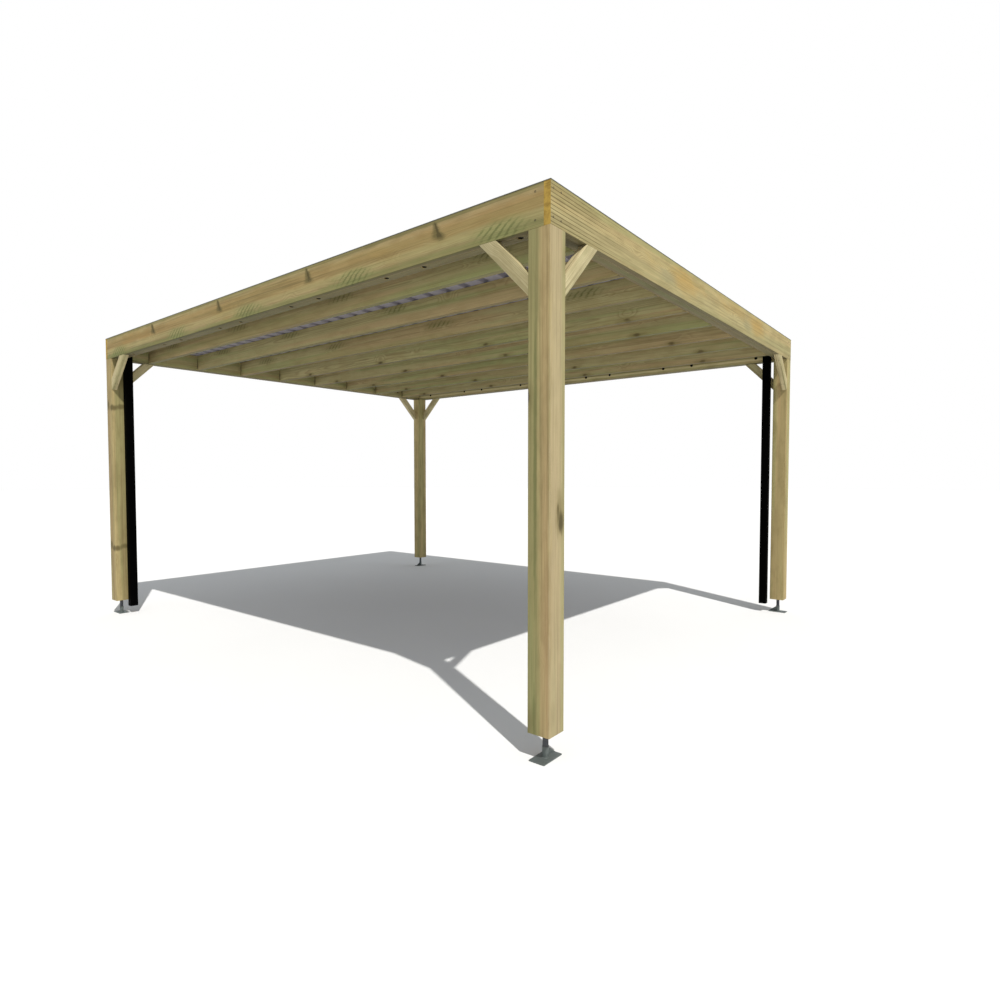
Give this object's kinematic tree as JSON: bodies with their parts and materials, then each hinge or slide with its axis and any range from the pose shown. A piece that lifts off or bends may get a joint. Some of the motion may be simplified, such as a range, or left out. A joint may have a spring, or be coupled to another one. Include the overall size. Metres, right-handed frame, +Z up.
{
  "type": "carport",
  "caption": "Open timber carport: square posts on adjustable steel feet, a flat fascia ring with knee braces, joists, ribbed steel roof, hidden gutters and downpipes.",
  "frame": {"origin": "on the ground, at the middle of the plan", "axes": "+Z up, +X along the long side, -Y the front; the joists run along X"},
  "size_m": [5.03, 4.08, 2.577],
  "materials": {
    "post_timber": "planed pressure-treated pine, green and tan streaks, dry matt surface",
    "fascia_timber": "planed pressure-treated pine boards with knots, matt",
    "brace_timber": "planed pressure-treated pine, pale tan, matt",
    "joist_timber": "planed pressure-treated pine, olive brown, matt",
    "foot_steel": "hot-dip galvanised steel, dull grey",
    "screw_steel": "dull galvanised threaded rod",
    "roof_steel": "coated ribbed steel sheet, purple-grey underside, satin",
    "trim_metal": "coated metal edging, dark grey, satin",
    "gutter_metal": "coated sheet metal box gutter, grey, satin",
    "pipe_plastic": "black plastic, semi-matt"
  },
  "bodies": {
    "root": {"foot_front_left": "foot_steel", "foot_front_right": "foot_steel", "foot_back_left": "foot_steel", "foot_back_right": "foot_steel", "jack_screw_front_left": "screw_steel", "jack_screw_front_right": "screw_steel", "jack_screw_back_left": "screw_steel", "jack_screw_back_right": "screw_steel", "post_front_left": "post_timber", "post_front_right": "post_timber", "post_back_left": "post_timber", "post_back_right": "post_timber", "long_brace_front_left": "brace_timber", "long_brace_front_right": "brace_timber", "long_brace_back_left": "brace_timber", "long_brace_back_right": "brace_timber", "short_brace_front_left": "brace_timber", "short_brace_front_right": "brace_timber", "short_brace_back_left": "brace_timber", "short_brace_back_right": "brace_timber", "fascia_front": "fascia_timber", "fascia_back": "fascia_timber", "fascia_left": "fascia_timber", "fascia_right": "fascia_timber", "beam_front": "joist_timber", "beam_back": "joist_timber", "beam_left": "joist_timber", "beam_right": "joist_timber", "joist_1": "joist_timber", "joist_2": "joist_timber", "joist_3": "joist_timber", "joist_4": "joist_timber", "joist_5": "joist_timber", "joist_6": "joist_timber", "joist_7": "joist_timber", "joist_8": "joist_timber", "roof_sheet_1": "roof_steel", "roof_sheet_2": "roof_steel", "roof_sheet_3": "roof_steel", "roof_sheet_4": "roof_steel", "roof_sheet_5": "roof_steel", "roof_edge_trim": "trim_metal", "gutter_front": "gutter_metal", "gutter_back": "gutter_metal", "downpipe_front_left": "pipe_plastic", "downpipe_back_right": "pipe_plastic"}
  },
  "joints": []
}
